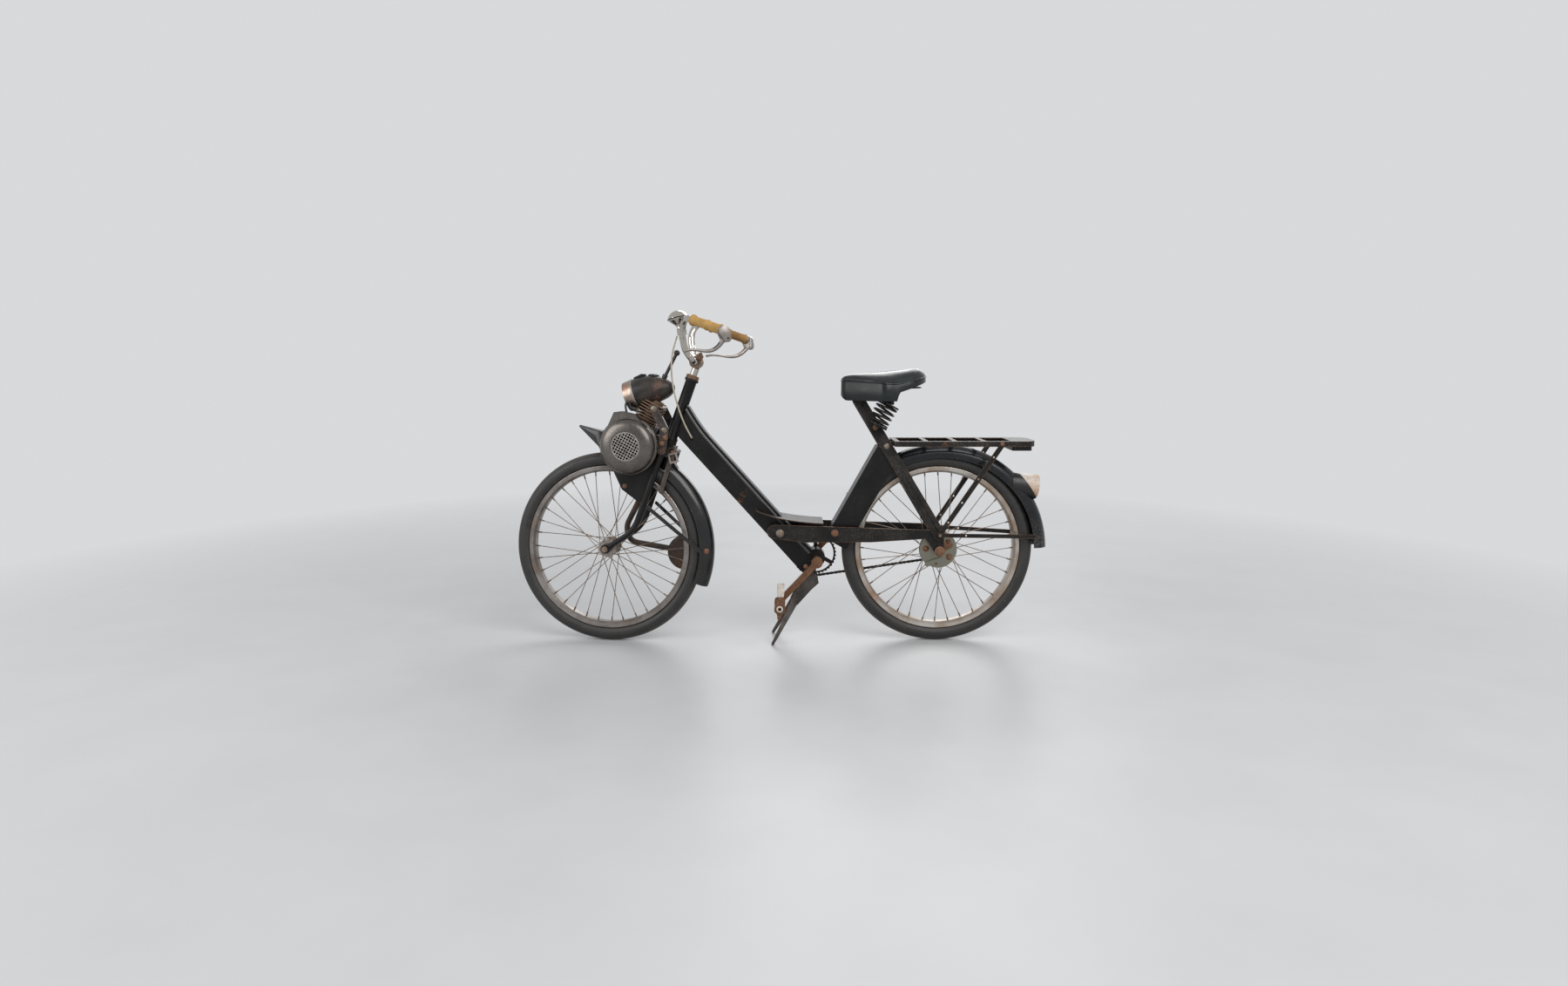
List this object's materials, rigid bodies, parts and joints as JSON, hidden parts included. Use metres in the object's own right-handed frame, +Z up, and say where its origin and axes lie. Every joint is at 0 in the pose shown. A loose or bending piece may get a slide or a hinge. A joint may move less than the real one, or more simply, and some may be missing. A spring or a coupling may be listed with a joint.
{
  "type": "friction-drive moped",
  "caption": "Worn black moped with its engine over the front wheel, step-through frame, sprung saddle, rack, pedals and centre stand.",
  "frame": {"origin": "middle of the box's bottom face, on the floor between the wheels", "axes": "+X towards the rear, +Y towards the rider's right, +Z up"},
  "size_m": [1.6207, 0.4899, 1.0001],
  "materials": {
    "black_paint": "worn black enamel, chipped, with rust at the edges",
    "black_vinyl": "glossy black vinyl",
    "dark_steel": "dark steel, dirty and rusted",
    "lamp_white": "pale worn paint with rust specks",
    "red_lens": "red glass",
    "old_steel": "bare steel, browned",
    "worn_chrome": "chrome with rust pits",
    "tan_rubber": "mustard rubber, worn",
    "brake_alloy": "dull alloy",
    "cream_sheath": "cream cable sheath",
    "engine_alloy": "grey cast alloy, oily",
    "grille_alloy": "bright worn alloy mesh",
    "fin_iron": "browned iron fins",
    "lens_glass": "fluted clear glass",
    "lever_black": "black lever and knob",
    "tyre_rubber": "grey-black tyre rubber",
    "rim_steel": "dull plated rim",
    "rim_rust": "rust-brown rim",
    "drum_alloy": "grey-green drum with rust",
    "crank_rust": "copper-brown rusted plating",
    "pedal_mix": "pale block on rusted steel"
  },
  "bodies": {
    "frame": {"head_tube": "black_paint", "main_beam": "black_paint", "footboard": "black_paint", "seat_beam": "black_paint", "chain_stays": "black_paint", "seat_stays": "black_paint", "saddle": "black_vinyl", "saddle_mount": "dark_steel", "saddle_springs": "dark_steel", "luggage_rack": "black_paint", "rear_struts": "black_paint", "rear_mudguard": "black_paint", "tail_lamp": "lamp_white", "tail_lens": "red_lens", "rear_axle": "old_steel", "drive_chain": "dark_steel"},
    "steering": {"fork": "black_paint", "front_axle": "old_steel", "stem": "worn_chrome", "handlebar": "worn_chrome", "grips": "tan_rubber", "brake_levers": "worn_chrome", "bell": "worn_chrome", "front_mudguard": "black_paint", "valances": "black_paint", "front_brake": "brake_alloy", "brake_cable": "cream_sheath"},
    "engine": {"crankcase": "engine_alloy", "fan_cover": "engine_alloy", "fan_grille": "grille_alloy", "fuel_tank": "black_paint", "finned_cylinder": "fin_iron", "headlamp": "black_paint", "headlamp_rim": "worn_chrome", "headlamp_lens": "lens_glass", "engine_arms": "dark_steel", "exhaust": "dark_steel", "lift_lever": "lever_black"},
    "crankshaft": {"crankshaft": "engine_alloy"},
    "front_wheel": {"front_tyre": "tyre_rubber", "front_rim": "rim_steel", "front_spokes": "old_steel", "front_hub": "brake_alloy"},
    "rear_wheel": {"rear_tyre": "tyre_rubber", "rear_rim": "rim_rust", "rear_spokes": "old_steel", "rear_hub": "drum_alloy"},
    "stand": {"stand": "dark_steel"},
    "crank": {"crank_arms": "crank_rust", "chainring": "dark_steel"},
    "left_pedal": {"left_pedal": "pedal_mix"},
    "right_pedal": {"right_pedal": "pedal_mix"}
  },
  "joints": [
    {"name": "steering", "type": "hinge", "parent": "frame", "child": "steering", "pos_m": [-0.29591, 0, 0.70806], "axis": [0.342, 0, 0.9397], "range_deg": [-33.5, 46.5], "deforming": ["brake_cable"]},
    {"name": "engine_lift", "type": "hinge", "parent": "steering", "child": "engine", "pos_m": [-0.34308, 0.00045, 0.59007], "axis": [0.1064, 0.9936, -0.0387], "range_deg": [0, 3]},
    {"name": "crankshaft_spin", "type": "hinge", "parent": "engine", "child": "crankshaft", "pos_m": [-0.4399, 0.0113, 0.60246], "axis": [0.1064, 0.9936, -0.0387], "continuous": true},
    {"name": "front_wheel_spin", "type": "hinge", "parent": "steering", "child": "front_wheel", "pos_m": [-0.52108, 0.00781, 0.28985], "axis": [0.1064, 0.9936, -0.0387], "continuous": true},
    {"name": "rear_wheel_spin", "type": "hinge", "parent": "frame", "child": "rear_wheel", "pos_m": [0.4785, 0, 0.29], "axis": [0, 1, 0], "continuous": true},
    {"name": "stand_fold", "type": "hinge", "parent": "frame", "child": "stand", "pos_m": [0.0925, 0, 0.208], "axis": [0, -1, 0], "range_deg": [0, 105]},
    {"name": "crank_spin", "type": "hinge", "parent": "frame", "child": "crank", "pos_m": [0.1105, 0, 0.26], "axis": [0, 1, 0], "continuous": true},
    {"name": "left_pedal_spin", "type": "hinge", "parent": "crank", "child": "left_pedal", "pos_m": [0.00022, -0.13, 0.1427], "axis": [0, 1, 0], "continuous": true},
    {"name": "right_pedal_spin", "type": "hinge", "parent": "crank", "child": "right_pedal", "pos_m": [0.22078, 0.13, 0.3773], "axis": [0, 1, 0], "continuous": true}
  ]
}
